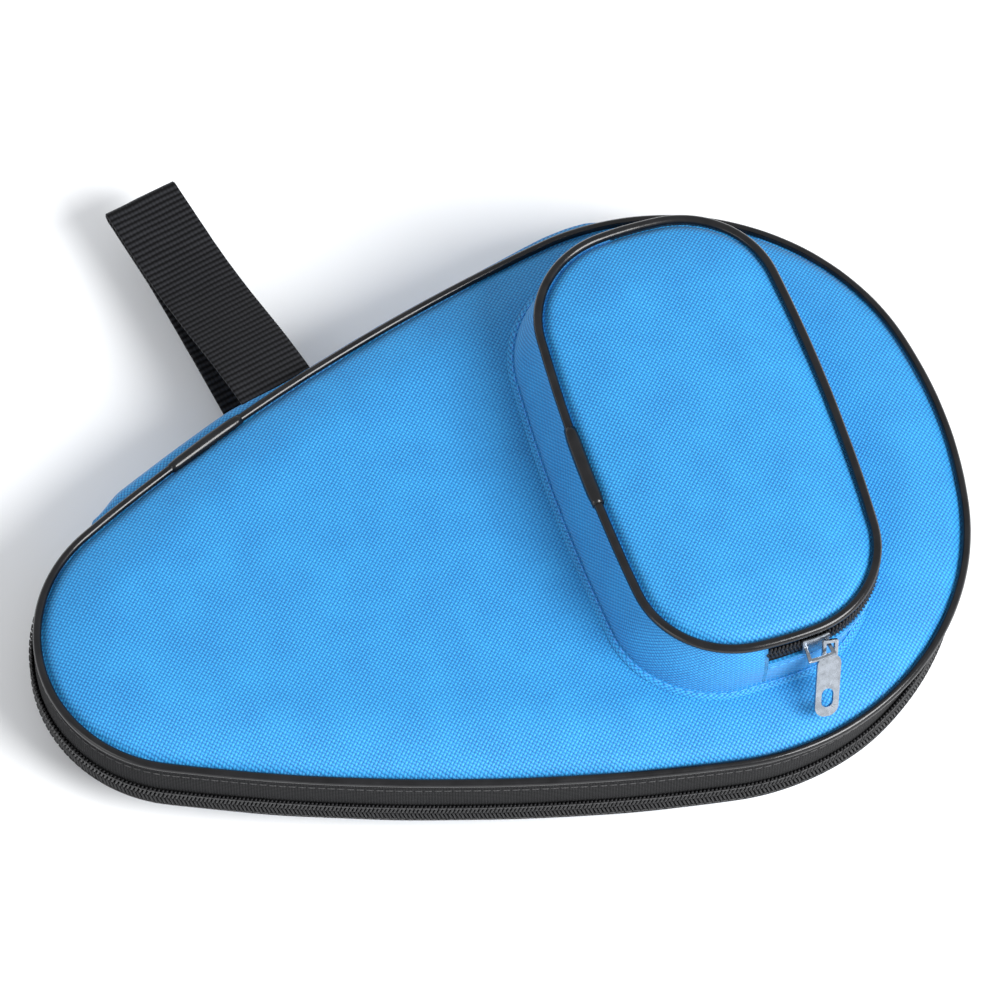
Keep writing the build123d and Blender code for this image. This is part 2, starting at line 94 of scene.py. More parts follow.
# ---------------------------------------------------------------------- outlines
class Outline:
    """A closed line of tangent arcs, measured along its length, with a straight spine inside it."""

    def __init__(self, arcs, spine_start, spine_end):
        self.arcs = arcs
        self.starts = [0.0]
        for _, radius, _, size in arcs:
            self.starts.append(self.starts[-1] + radius * radians(size))
        self.length = self.starts[-1]
        self.ends = np.array((spine_start, spine_end))
        self.samples = np.array([self.at(self.length * i / 720)[0] for i in range(720)])

    def at(self, s, growth=0.0):
        """The point a distance s along the line, pushed outwards, and its outward normal."""
        s = s % self.length
        index = max(i for i, start in enumerate(self.starts[:-1]) if start <= s)
        centre, radius, start, _ = self.arcs[index]
        angle = radians(start) + (s - self.starts[index]) / radius
        normal = np.array((cos(angle), sin(angle)))
        return np.array(centre) + (radius + growth) * normal, normal

    def spine(self, points):
        """The nearest points of the spine."""
        return np.clip(points, self.ends.min(axis=0), self.ends.max(axis=0))

    def insets(self, points):
        """How far points are from the line."""
        flat = points.reshape(-1, 2)
        nearest = [np.hypot(*(self.samples - point).T).min() for point in flat]
        return np.array(nearest).reshape(points.shape[:-1])

    def station_at_x(self, x):
        """How far along the line its second half crosses a value of x."""
        low, high = self.length / 2, self.length
        for _ in range(50):
            middle = (low + high) / 2
            if self.at(middle)[0][0] < x:
                low = middle
            else:
                high = middle
        return low

    def station(self, arc, angle):
        """How far along the line an angle on one of its arcs is."""
        _, radius, start, _ = self.arcs[arc]
        return self.starts[arc] + radius * radians(angle - start)


def polar(centre, radius, angle):
    return (centre[0] + radius * cos(radians(angle)), centre[1] + radius * sin(radians(angle)))


def gourd_outline():
    tip = (TIP_X - TIP_R, 0)
    shoulder = polar(tip, TIP_R - SHOULDER_R, TIP_ANGLE)
    side = polar(shoulder, SHOULDER_R - SIDE_R, SHOULDER_ANGLE)
    end_angle = 180 - degrees(asin(-side[1] / (SIDE_R - END_R)))
    end = polar(side, SIDE_R - END_R, end_angle)
    upper = [
        (shoulder, SHOULDER_R, TIP_ANGLE, SHOULDER_ANGLE - TIP_ANGLE),
        (side, SIDE_R, SHOULDER_ANGLE, end_angle - SHOULDER_ANGLE),
    ]
    lower = [((x, -y), radius, -start - size, size) for (x, y), radius, start, size in reversed(upper)]
    first = (tip, TIP_R, -TIP_ANGLE, 2 * TIP_ANGLE)
    last = (end, END_R, end_angle, 360 - 2 * end_angle)
    return Outline([first, *upper, last, *lower], (end[0], 0), (shoulder[0], 0))


def pocket_outline():
    reach = POCKET_SIDE_R - POCKET_HALF
    dx, dy = polar((-reach, 0), POCKET_SIDE_R - POCKET_CORNER_R, POCKET_SIDE_ANGLE)
    end = degrees(acos(dx / (POCKET_END_R - POCKET_CORNER_R)))
    end_y = dy - (POCKET_END_R - POCKET_CORNER_R) * sin(radians(end))
    corner = end - POCKET_SIDE_ANGLE
    arcs = []
    for turn, half in ((0, 1), (180, -1)):
        arcs += [
            ((POCKET_X - half * reach, 0), POCKET_SIDE_R, turn - POCKET_SIDE_ANGLE, 2 * POCKET_SIDE_ANGLE),
            ((POCKET_X + half * dx, half * dy), POCKET_CORNER_R, turn + POCKET_SIDE_ANGLE, corner),
            ((POCKET_X, half * end_y), POCKET_END_R, turn + end, 180 - 2 * end),
            ((POCKET_X - half * dx, half * dy), POCKET_CORNER_R, turn + 180 - end, corner),
        ]
    return Outline(arcs, (POCKET_X, -dy), (POCKET_X, dy))


case = gourd_outline()
pocket = pocket_outline()
GUSSET_BLADE = case.station(1, 84)
GUSSET_END = case.station(2, 115.2)
HANDLE_STATION = case.station(2, 108.7)
SPLICE_STATION = case.station(2, 111.4)


def smooth(low, high, value):
    """0 below low, 1 above high, with a smooth step between."""
    t = min(max((value - low) / (high - low), 0), 1)
    return t * t * (3 - 2 * t)


def ripple(size, *place):
    """Smooth noise from about -1 to 1 with features of a size."""
    return noise.noise(Vector((*place, 0.0)[:3]) / size)


# ------------------------------------------------------------------ mesh building
def new_object(name, points, faces):
    mesh = bpy.data.meshes.new(name)
    mesh.from_pydata(points, [], faces)
    mesh.update()
    mesh.shade_smooth()
    obj = bpy.data.objects.new(name, mesh)
    bpy.context.scene.collection.objects.link(obj)
    return obj


def set_weave(obj, weave):
    """Stores where each vertex is on its cloth, along and across it in metres."""
    flat = np.zeros((len(obj.data.vertices), 3), np.float32)
    flat[:, : weave.shape[-1]] = weave.reshape(-1, weave.shape[-1])
    attribute = obj.data.attributes.new("weave", "FLOAT_VECTOR", "POINT")
    attribute.data.foreach_set("vector", flat.ravel())


def grid(name, points, weave=None, around=False, flip=False):
    """A mesh over rows and columns of points; around closes each row on itself."""
    rows, cols = points.shape[:2]
    faces = []
    for r in range(rows - 1):
        for c in range(cols if around else cols - 1):
            d = (c + 1) % cols
            face = (r * cols + c, r * cols + d, (r + 1) * cols + d, (r + 1) * cols + c)
            faces.append(face[::-1] if flip else face)
    obj = new_object(name, points.reshape(-1, 3).tolist(), faces)
    if weave is not None:
        set_weave(obj, weave)
    return obj


@contextmanager
def edited(obj):
    """An object's mesh, open for editing and written back at the end."""
    bm = bmesh.new()
    bm.from_mesh(obj.data)
    yield bm
    bm.to_mesh(obj.data)
    bm.free()


def settle(obj):
    """Applies an object's modifiers to its mesh."""
    bpy.context.view_layer.update()
    depsgraph = bpy.context.evaluated_depsgraph_get()
    mesh = bpy.data.meshes.new_from_object(obj.evaluated_get(depsgraph))
    obj.modifiers.clear()
    obj.data = mesh
    return obj


def thicken(obj, thickness):
    """Turns a sheet into a closed shell, towards its inner side."""
    solid = obj.modifiers.new("thickness", "SOLIDIFY")
    solid.thickness = thickness
    solid.offset = -1
    return settle(obj)


def capsule(length, width, depth, sides=8):
    """A rounded bar along local Z: points and faces."""
    profile = ((-0.5, 0.45), (-0.42, 0.85), (-0.3, 1), (0.3, 1), (0.42, 0.85), (0.5, 0.45))
    points = []
    for along, share in profile:
        for k in range(sides):
            turn = 2 * pi * k / sides
            points.append((share * width / 2 * cos(turn), share * depth / 2 * sin(turn), along * length))
    faces = [tuple(range(sides))[::-1]]
    for r in range(len(profile) - 1):
        for k in range(sides):
            n = (k + 1) % sides
            faces.append((r * sides + k, r * sides + n, (r + 1) * sides + n, (r + 1) * sides + k))
    last = (len(profile) - 1) * sides
    faces.append(tuple(range(last, last + sides)))
    return np.array(points), faces


def scatter(name, shape, places):
    """One mesh of many copies of a shape; each place is an origin and three axes."""
    points, faces = shape
    all_points = []
    all_faces = []
    for n, (origin, x, y, z) in enumerate(places):
        all_points.append(np.array(origin) + points @ np.array((x, y, z)))
        all_faces += [tuple(i + n * len(points) for i in face) for face in faces]
    return new_object(name, np.concatenate(all_points).tolist(), all_faces)


def tube(name, centres, normals, radii, sides=14, closed=False):
    """A round cord through points; normals are level directions square to it."""
    count = len(centres)
    rings = np.zeros((count, sides, 3))
    for i in range(count):
        ahead = (i + 1) % count if closed else min(i + 1, count - 1)
        behind = i - 1 if closed else max(i - 1, 0)
        tangent = np.array(centres[ahead]) - np.array(centres[behind])
        tangent /= np.linalg.norm(tangent)
        side = np.array(normals[i])
        side = side - tangent * side.dot(tangent)
        side /= np.linalg.norm(side)
        up = np.cross(tangent, side)
        for k in range(sides):
            turn = 2 * pi * k / sides
            rings[i, k] = centres[i] + radii[i] * (cos(turn) * side + sin(turn) * up)
    if closed:
        rings = np.concatenate((rings, rings[:1]))
    obj = grid(name, rings, around=True, flip=True)
    with edited(obj) as bm:
        if closed:
            bmesh.ops.remove_doubles(bm, verts=bm.verts, dist=0.001 * MM)
        else:
            bmesh.ops.holes_fill(bm, edges=bm.edges)
        bmesh.ops.recalc_face_normals(bm, faces=bm.faces)
    obj.data.shade_smooth()
    return obj


def finish_piece(obj, body, slot, material, *nodes):
    """Gives a piece its material and its body, and hides the CAD nodes that it stands for; slot is not used.
    """
    obj.data.materials.clear()
    obj.data.materials.append(material)
    if nodes:
        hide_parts(*nodes)
    if body:
        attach(obj, body)
    return obj


# ---------------------------------------------------------------------- materials
class Shader:
    """A material whose nodes are added by short calls."""

    def __init__(self, name, roughness, **sockets):
        self.material = bpy.data.materials.new(name)
        self.material.use_nodes = True
        self.tree = self.material.node_tree
        self.bsdf = self.tree.nodes["Principled BSDF"]
        self.bsdf.inputs["Roughness"].default_value = roughness
        for socket, value in sockets.items():
            self.bsdf.inputs[socket.replace("_", " ")].default_value = value

    def node(self, kind, **settings):
        node = self.tree.nodes.new("ShaderNode" + kind)
        for key, value in settings.items():
            setattr(node, key, value)
        return node

    def link(self, source, target):
        if isinstance(source, (int, float)):
            target.default_value = source
        else:
            self.tree.links.new(source, target)

    def math(self, operation, a, b=0.0, c=None):
        node = self.node("Math", operation=operation)
        self.link(a, node.inputs[0])
        self.link(b, node.inputs[1])
        if c is not None:
            self.link(c, node.inputs[2])
        return node.outputs[0]

    def cloth_place(self, turn=0.0):
        """Place on the cloth, in metres, turned about its normal."""
        place = self.node("Attribute", attribute_name="weave").outputs["Vector"]
        turned = self.node("Mapping")
        turned.inputs["Rotation"].default_value = (0, 0, radians(turn))
        self.tree.links.new(place, turned.inputs["Vector"])
        return turned.outputs["Vector"]

    def object_place(self):
        return self.node("TexCoord").outputs["Object"]

    def noise(self, place, size, detail=2.0):
        node = self.node("TexNoise")
        node.inputs["Scale"].default_value = 1 / size
        node.inputs["Detail"].default_value = detail
        self.tree.links.new(place, node.inputs["Vector"])
        return node.outputs["Fac"]

    def woven(self, place, pitch_u, pitch_v):
        """Height of a plain weave, and where its warp is on top."""
        split = self.node("SeparateXYZ")
        self.tree.links.new(place, split.inputs[0])
        cos_u = self.math("COSINE", self.math("MULTIPLY", split.outputs[0], pi / pitch_u))
        cos_v = self.math("COSINE", self.math("MULTIPLY", split.outputs[1], pi / pitch_v))
        crossing = self.math("MULTIPLY", cos_u, cos_v)
        warp = self.math("ADD", self.math("ABSOLUTE", cos_u), crossing)
        weft = self.math("SUBTRACT", self.math("ABSOLUTE", cos_v), crossing)
        height = self.math("MULTIPLY", self.math("MAXIMUM", warp, weft), 0.5)
        return height, self.math("GREATER_THAN", warp, weft)

    def waves(self, place, pitch):
        """Even ridges square to the cloth's length, from 0 to 1."""
        split = self.node("SeparateXYZ")
        self.tree.links.new(place, split.inputs[0])
        turn = self.math("MULTIPLY", split.outputs[1], 2 * pi / pitch)
        return self.math("MULTIPLY_ADD", self.math("COSINE", turn), 0.5, 0.5)

    def ramp(self, value, *stops):
        node = self.node("ValToRGB")
        node.color_ramp.elements[0].position = stops[0][0]
        node.color_ramp.elements[0].color = (*stops[0][1], 1)
        node.color_ramp.elements[1].position = stops[-1][0]
        node.color_ramp.elements[1].color = (*stops[-1][1], 1)
        for position, colour in stops[1:-1]:
            node.color_ramp.elements.new(position).color = (*colour, 1)
        self.link(value, node.inputs["Fac"])
        return node.outputs["Color"]

    def bump(self, height, depth, strength=1.0):
        node = self.node("Bump")
        node.inputs["Distance"].default_value = depth
        node.inputs["Strength"].default_value = strength
        self.tree.links.new(height, node.inputs["Height"])
        self.tree.links.new(node.outputs["Normal"], self.bsdf.inputs["Normal"])

    def paint(self, colour):
        self.tree.links.new(colour, self.bsdf.inputs["Base Color"])

    def rough(self, value, low, high):
        self.link(self.math("MULTIPLY_ADD", value, high - low, low), self.bsdf.inputs["Roughness"])


def oxford(name, shades, pitch, turn=45, sheen=0.25):
    """Coarse plain-woven polyester: shades are pit, thread and crown colours, so its pits carry painted shade
    and its crowns a painted highlight.
    """
    s = Shader(name, 0.62, Sheen_Weight=sheen, Sheen_Roughness=0.4)
    place = s.cloth_place(turn)
    height, warp = s.woven(place, pitch, pitch)
    patches = s.noise(place, 14 * MM, 3.0)
    threads = s.noise(place, 0.6 * pitch, 2.0)
    tone = s.math("ADD", s.math("MULTIPLY", height, 0.75), s.math("MULTIPLY", warp, 0.1))
    tone = s.math("ADD", tone, s.math("MULTIPLY_ADD", patches, 0.25, -0.125))
    tone = s.math("ADD", tone, s.math("MULTIPLY_ADD", threads, 0.5, -0.25))
    # The colour follows the weave's height: painted shade in the pits and painted highlight on the crowns,
    # over random patches of tone.
    s.paint(s.ramp(tone, (0.1, shades[0]), (0.5, shades[1]), (0.95, shades[2])))
    s.rough(height, 0.75, 0.52)
    s.bump(s.math("ADD", height, s.math("MULTIPLY", threads, 0.25)), 0.22 * MM, 0.8)
    return s.material


def pvc(name):
    """Glossy black extruded skin of the piping."""
    s = Shader(name, 0.24, Coat_Weight=0.15, Coat_Roughness=0.1, Specular_IOR_Level=0.3)
    place = s.object_place()
    mottle = s.noise(place, 6 * MM, 4.0)
    s.paint(s.ramp(mottle, (0.3, (0.002, 0.002, 0.0025)), (0.7, (0.007, 0.007, 0.008))))
    s.rough(mottle, 0.16, 0.32)
    s.bump(s.noise(place, 1.6 * MM, 3.0), 0.12 * MM, 0.35)
    return s.material


def tape(name, rib, across, shades=((0.0005, 0.0005, 0.001), (0.009, 0.0095, 0.011)), ribbing=0.0):
    """Black woven tape; ribbing is how much its ribs, square to its length, stand out of the weave. Its low
    threads are painted darker as painted shade and its raised ones lighter as a painted highlight.
    """
    s = Shader(name, 0.8, Sheen_Weight=0.03, Specular_IOR_Level=0.15)
    place = s.cloth_place()
    height, _ = s.woven(place, across, rib)
    if ribbing:
        ribs = s.waves(place, rib)
        height = s.math("MULTIPLY_ADD", ribs, ribbing, s.math("MULTIPLY", height, 1 - ribbing))
    fuzz = s.noise(place, 0.4 * MM, 2.0)
    worn = s.noise(place, 12 * MM, 3.0)
    tone = s.math("ADD", s.math("MULTIPLY", height, 0.8), s.math("MULTIPLY_ADD", fuzz, 0.3, -0.15))
    tone = s.math("ADD", tone, s.math("MULTIPLY_ADD", worn, 0.2, -0.1))
    # Dark in the weave's hollows and light on its raised threads and ribs: painted shade and painted
    # highlight, with random tone on top.
    s.paint(s.ramp(tone, (0.15, shades[0]), (0.9, shades[1])))
    s.rough(height, 0.92, 0.7)
    s.bump(s.math("ADD", height, s.math("MULTIPLY", fuzz, 0.4)), 0.25 * MM, 0.9)
    return s.material


def nylon(name):
    """Satin black of the zip's coil."""
    s = Shader(name, 0.42, Specular_IOR_Level=0.3)
    mottle = s.noise(s.object_place(), 1.5 * MM, 3.0)
    s.paint(s.ramp(mottle, (0.3, (0.002, 0.002, 0.003)), (0.7, (0.009, 0.009, 0.01))))
    s.rough(mottle, 0.34, 0.55)
    s.bump(mottle, 0.05 * MM, 0.5)
    return s.material


def thread(name, dark, light):
    """Twisted sewing thread, its twist's grooves painted darker and its ridges lighter as painted shade and
    painted highlight.
    """
    s = Shader(name, 0.6, Sheen_Weight=0.2)
    place = s.object_place()
    twist = s.node("TexWave", bands_direction="DIAGONAL")
    twist.inputs["Scale"].default_value = 1 / (1.2 * MM)
    s.tree.links.new(place, twist.inputs["Vector"])
    # Dark in the twist's grooves, light on its ridges: painted shade and painted highlight.
    s.paint(s.ramp(twist.outputs["Fac"], (0.1, dark), (0.9, light)))
    s.bump(twist.outputs["Fac"], 0.08 * MM, 0.6)
    return s.material


def plated(name, colour, roughness, metallic=1.0):
    """Plated or enamelled die-cast metal with fine scratches and dulled spots."""
    s = Shader(name, roughness, Metallic=metallic)
    place = s.object_place()
    spots = s.noise(place, 2.5 * MM, 4.0)
    brushed = s.node("Mapping")
    brushed.inputs["Scale"].default_value = (1, 1, 0.08)
    s.tree.links.new(place, brushed.inputs["Vector"])
    scratches = s.noise(brushed.outputs["Vector"], 0.15 * MM, 2.0)
    worn = tuple(0.72 * c for c in colour)
    s.paint(s.ramp(spots, (0.35, worn), (0.6, colour)))
    s.rough(spots, roughness + 0.16, roughness - 0.04)
    s.bump(scratches, 0.02 * MM, 0.35)
    return s.material


def foam_sheet(name):
    s = Shader(name, 0.95)
    cells = s.node("TexVoronoi")
    cells.inputs["Scale"].default_value = 1 / (0.8 * MM)
    s.tree.links.new(s.object_place(), cells.inputs["Vector"])
    s.paint(s.ramp(cells.outputs["Distance"], (0.1, (0.8, 0.79, 0.74)), (0.7, (0.5, 0.49, 0.45))))
    s.bump(cells.outputs["Distance"], 0.3 * MM, 0.8)
    return s.material


# Pit, thread and crown blues: the pit blue is painted shade and the crown blue a painted highlight.
BLUE_SHADES = ((0.004, 0.09, 0.29), (0.012, 0.235, 0.565), (0.04, 0.395, 0.76))
blue = oxford("blue_oxford", BLUE_SHADES, 1.05 * MM, sheen=0.12)
piping_skin = pvc("piping_pvc")
zip_cloth = tape("zip_tape_cloth", 0.9 * MM, 0.9 * MM)
# The webbing's dark shade lies between its ribs and its light one on their crowns: painted shade and painted
# highlight.
ribbed = tape("webbing_cloth", 2.0 * MM, 1.3 * MM, ((0.001, 0.001, 0.0015), (0.026, 0.027, 0.031)), 0.6)
binding_cloth = tape("binding_cloth", 0.8 * MM, 1.6 * MM)
# Pit, thread and crown greys of the lining: painted shade in the pits, painted highlight on the crowns.
lining_cloth = oxford("lining_cloth", ((0.006, 0.006, 0.007), (0.02, 0.02, 0.022), (0.04, 0.04, 0.043)),
                      0.6 * MM, 0, 0.1)
coil_nylon = nylon("coil_nylon")
blue_thread = thread("blue_thread", (0.02, 0.2, 0.6), (0.08, 0.42, 0.9))
black_thread = thread("black_thread", (0.008, 0.008, 0.009), (0.03, 0.03, 0.032))
nickel = plated("nickel_plate", (0.34, 0.37, 0.41), 0.2)
enamel = plated("black_enamel", (0.03, 0.03, 0.033), 0.34, 0.6)
foam_material = foam_sheet("foam_sheet")


# -------------------------------------------------------------- shapes on an outline
def drawn_in(z):
    """How far the case's wall is drawn in at a height."""
    return -BACK_INSET * min(max((TUCK_Z - z) / (TUCK_Z - BACK_SEAM), 0), 1)


def slab(name, outline, growth, top, bottom, rows=30, step=2.2 * MM):
    """A flat piece over the inside of an outline; top and bottom give z from inset, x and y."""
    cols = round(outline.length / step)
    rim = np.array([outline.at(outline.length * c / cols, growth)[0] for c in range(cols)])
    spine = outline.spine(rim)
    shares = np.linspace(0, 1, rows) ** 1.5
    flat = rim + shares[:, None, None] * (spine - rim)
    depth = np.abs(outline.insets(flat) + growth)
    upper = np.dstack((flat, top(depth, flat[..., 0], flat[..., 1])))
    lower = np.dstack((flat, bottom(depth, flat[..., 0], flat[..., 1])))
    points = np.concatenate((lower[::-1], upper))
    obj = grid(name, points, points[..., :2], around=True)
    with edited(obj) as bm:
        bmesh.ops.remove_doubles(bm, verts=bm.verts, dist=0.02 * MM)
        bmesh.ops.dissolve_degenerate(bm, edges=bm.edges, dist=0.001 * MM)
        bmesh.ops.recalc_face_normals(bm, faces=bm.faces)
    obj.data.shade_smooth()
    obj.data.set_sharp_from_angle(angle=radians(55))
    return obj


def band(name, outline, start, end, profile, thickness=FABRIC, step=1.5 * MM, keep=None):
    """A strip that follows an outline; profile(s) gives its (growth, z) points from low to high."""
    closed = abs(end - start - outline.length) < 0.01 * MM
    cols = round((end - start) / step)
    stations = start + (end - start) * np.arange(cols + (not closed)) / cols
    points = []
    weave = []
    for s in stations:
        line = profile(s)
        run = 0.0
        column = []
        cloth = []
        for i, (growth, z) in enumerate(line):
            place, _ = outline.at(s, growth)
            if i:
                run += sqrt((growth - line[i - 1][0]) ** 2 + (z - line[i - 1][1]) ** 2)
            column.append((*place, z))
            cloth.append((s, run))
        points.append(column)
        weave.append(cloth)
    points = np.array(points).transpose(1, 0, 2)
    obj = grid(name, points, np.array(weave).transpose(1, 0, 2), around=closed)
    if keep:
        with edited(obj) as bm:
            spare = [face for face in bm.faces if not keep(face.calc_center_median())]
            bmesh.ops.delete(bm, geom=spare, context="FACES")
    obj = thicken(obj, thickness)
    obj.data.set_sharp_from_angle(angle=radians(55))
    return obj


def rim_cord(name, outline, growth, z, radius, start=0.0, end=None, taper=0.0, wander=0.12 * MM):
    """A round cord along an outline, slightly uneven; taper thins both of its ends."""
    closed = end is None
    end = outline.length if closed else end
    count = round((end - start) / (1.6 * MM))
    centres, normals, radii = [], [], []
    for i in range(count + (not closed)):
        s = start + (end - start) * i / count
        place, normal = outline.at(s, growth + wander * ripple(28 * MM, *outline.at(s)[0], z))
        lift = wander * ripple(34 * MM, *outline.at(s)[0], z + 0.3)
        centres.append(np.array((*place, z + lift)))
        normals.append((*normal, 0))
        from_end = min(s - start, end - s)
        thin = 1 - taper * (1 - smooth(0, 2 * radius, from_end)) if taper else 1
        radii.append(radius * thin * (1 + 0.035 * ripple(9 * MM, *place, z)))
    return tube(name, centres, normals, radii, closed=closed)


def zip_teeth(name, outline, start, end, z, reach, growth_of, sign):
    """A row of moulded teeth between two heights: z at the tape, reach over the middle.

    sign is 1 for the upper row; the two rows lean opposite ways and are half a tooth apart.
    """
    pitch = 1.25 * MM
    lean = sign * TOOTH_LEAN
    phase = 0.25 * (1 + sign)
    count = int((end - start) / pitch)
    length = abs(reach - z)
    shape = capsule(length, 0.98 * MM, 1.5 * MM)
    places = []
    for i in range(count):
        s = start + (i + phase) * pitch
        centre, normal = outline.at(s, growth_of(s))
        tangent = np.array((-normal[1], normal[0], 0))
        long_axis = np.array((0, 0, 1)) * cos(lean) + tangent * sin(lean)
        across = tangent * cos(lean) - np.array((0, 0, 1)) * sin(lean)
        places.append(((*centre, (z + reach) / 2), across, np.array((*normal, 0)), long_axis))
    return scatter(name, shape, places)


def stitches(name, outline, start, end, z_of, growth_of, pitch=3.0 * MM, length=2.3 * MM, size=0.45 * MM):
    """A run of lockstitches along an outline."""
    places = []
    for i in range(int((end - start) / pitch)):
        s = start + (i + 0.5) * pitch
        growth = growth_of(s)
        centre, normal = outline.at(s, growth)
        ahead, _ = outline.at(s + 1 * MM, growth_of(s + 1 * MM))
        along = np.array((*(ahead - centre), z_of(s + 1 * MM) - z_of(s)))
        along /= np.linalg.norm(along)
        out = np.array((*normal, 0))
        side = np.cross(along, out)
        side /= np.linalg.norm(side)
        places.append(((*centre, z_of(s)), np.cross(side, along), side, along))
    return scatter(name, capsule(length, size, size), places)


def dome(depth, rise, run):
    return rise * np.sin(pi / 2 * np.clip(depth / run, 0, 1))


ripples = np.vectorize(ripple)


def softness(depth, x, y, seed):
    """Small puckers near a sewn edge and slow hollows further in."""
    pucker = 0.28 * MM * np.exp(-depth / (5 * MM)) * ripples(6 * MM, x, y, seed)
    hollow = 0.5 * MM * ripples(55 * MM, x, y, seed)
    return pucker + hollow * np.clip(depth / (30 * MM), 0, 1)


# ----------------------------------------------------------------- the two shells
def crease(depth):
    """Cloth turns down steeply where it goes into a piped seam."""
    return -2.4 * MM * np.exp(-((depth / (2.1 * MM)) ** 2))


def front_height(depth, x, y):
    edge = FRONT_SEAM + 0.6 * MM
    return edge + dome(depth, PANEL_TOP - edge, DOME_RUN) + softness(depth, x, y, 0.1) + crease(depth)


def back_height(depth, x, y):
    edge = BACK_SEAM - 0.4 * MM
    rise = edge - 0.35 * MM
    return edge - dome(depth, rise, 18 * MM) + 0.6 * softness(depth, x, y, 0.7)


def at_height(z, seed):
    """A level face with slow hollows."""

    def face(depth, x, y):
        return z + 0.4 * softness(depth, x, y, seed)

    return face


def below(height, distance):
    """A face at a distance under another one."""

    def face(depth, x, y):
        return height(depth, x, y) - distance

    return face


def shell_pieces(side, body, seam, outer, rim, sign):
    """Panel, foam, lining and piped rim of the back or the front; outer is the panel's outer face."""
    inner = below(outer, sign * FABRIC)
    faces = (outer, inner) if sign > 0 else (inner, outer)
    cloth = slab(side + "_cloth", case, rim + 0.4 * MM, *faces)
    finish_piece(cloth, body, "blue_fabric", blue, side + "_panel")

    lining_low, lining_high = (corner.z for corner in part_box(side + "_lining"))
    foam_face = lining_low if sign < 0 else lining_high
    under = below(outer, sign * 1.15 * FABRIC)
    level = at_height(foam_face, 0.3)
    edge = rim - 2 * MM
    faces = (under, level) if sign > 0 else (level, under)
    foam = slab(side + "_foam_sheet", case, edge, *faces, rows=20, step=4 * MM)
    finish_piece(foam, body, "foam", foam_material, side + "_foam")

    faces = (at_height(lining_high, 0.3), at_height(lining_low, 0.3))
    lining = slab(side + "_lining_cloth", case, edge, *faces)
    finish_piece(lining, body, "lining", lining_cloth, side + "_lining")

    low, high = (corner.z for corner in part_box(side + "_seam_binding"))

    def wrap(s):
        """The tape's face, and its two turned edges further in."""
        wave = rim + 0.15 * MM * ripple(12 * MM, *case.at(s)[0], low)
        turned, face, fold = wave - 1.2 * MM, wave - 0.5 * MM, 0.3 * MM
        return [(turned, low), (face, low + fold), (face, high - fold), (turned, high)]

    binding = band(side + "_binding", case, 0, case.length, wrap, 0.8 * MM)
    finish_piece(binding, body, "binding", binding_cloth, side + "_seam_binding")

    cord = rim_cord(side + "_cord", case, rim + PIPING, seam, PIPING + 0.1 * MM)
    finish_piece(cord, body, "piping", piping_skin, side + "_piping")
    half = SPLICE_LENGTH / 2
    sleeve = rim_cord(side + "_sleeve", case, rim + PIPING, seam, PIPING + 0.65 * MM,
                      SPLICE_STATION - half, SPLICE_STATION + half, taper=0.15)
    finish_piece(sleeve, body, "piping", piping_skin, side + "_piping_splice")


shell_pieces("front", "front_shell", FRONT_SEAM, front_height, 0.0, 1)
shell_pieces("back", "back_shell", BACK_SEAM, back_height, -BACK_INSET, -1)

# ------------------------------------------------------------------------ main zip
TOOTH_LEAN = radians(16)
TEETH_ROOT, TEETH_OVERLAP, COIL_SEWING = 4.3 * MM, 0.35 * MM, 3.6 * MM
ZIP_START = GUSSET_END + 0.5 * MM
ZIP_END = case.length + case.station(1, 83.7)
FRONT_COIL_END = case.length + case.station(1, 77)


def zip_push(s):
    """The soft wall swells next to the gusset's small end, and sinks in on the free shoulder."""
    swell = 4.4 * MM * exp(-(s - ZIP_START) / (40 * MM))
    sink = 3.6 * MM * exp(-(((s - case.station(5, -35)) / (62 * MM)) ** 2))
    return swell - sink


def tape_wave(s, z):
    across = sin(pi * (z - BACK_SEAM) / (FRONT_SEAM - BACK_SEAM))
    return 0.3 * MM * ripple(30 * MM, *case.at(s)[0], z) + zip_push(s) * across


def front_tape_profile(s):
    heights = np.linspace(22.2 * MM, FRONT_SEAM - 0.4 * MM, 9)
    return [(1.2 * MM + 0.5 * MM * sin(pi * i / 8) + tape_wave(s, z), z) for i, z in enumerate(heights)]


def back_tape_profile(s):
    """The tape swells out in a soft lip under the coil and then goes in to the back rim."""
    line = []
    for z in np.linspace(BACK_SEAM + 0.4 * MM, 19.8 * MM, 17):
        lip = 1.3 * MM * exp(-(((z - TUCK_Z + 0.6 * MM) / (2.4 * MM)) ** 2))
        line.append((drawn_in(z) + 1.2 * MM + lip + tape_wave(s, z), z))
    return line


for side, profile, coil_end, sign in (("front", front_tape_profile, FRONT_COIL_END, 1),
                                      ("back", back_tape_profile, ZIP_END, -1)):
    body = side + "_shell"
    strip = band(side + "_tape", case, ZIP_START, ZIP_END, profile, 0.9 * MM)
    finish_piece(strip, body, "zip_tape", zip_cloth, side + "_zip_tape")
    root, reach = ZIP_Z + sign * TEETH_ROOT, ZIP_Z - sign * TEETH_OVERLAP
    teeth = zip_teeth(side + "_teeth", case, ZIP_START + 1 * MM, coil_end, root, reach,
                      lambda s: 2.1 * MM + zip_push(s), sign)
    finish_piece(teeth, body, "zip_coil", coil_nylon, side + "_zip_coil")
    seam_z = ZIP_Z + sign * COIL_SEWING
    sewing = stitches(side + "_coil_stitches", case, ZIP_START + 1 * MM, coil_end, lambda s: seam_z,
                      lambda s: 2.8 * MM + zip_push(s), 2.5 * MM, 2.2 * MM, 0.45 * MM)
    finish_piece(sewing, body, "zip_tape", black_thread)

TOPSTITCH_Z = FRONT_SEAM - 4.6 * MM


def topstitch_growth(s):
    """How far out the front tape is at the height of its topstitch."""
    growths, heights = np.array(front_tape_profile(s)).T
    return np.interp(TOPSTITCH_Z, heights, growths)


topstitch = stitches("front_topstitch", case, ZIP_START, ZIP_END, lambda s: TOPSTITCH_Z, topstitch_growth)
finish_piece(topstitch, "front_shell", "zip_tape", black_thread)

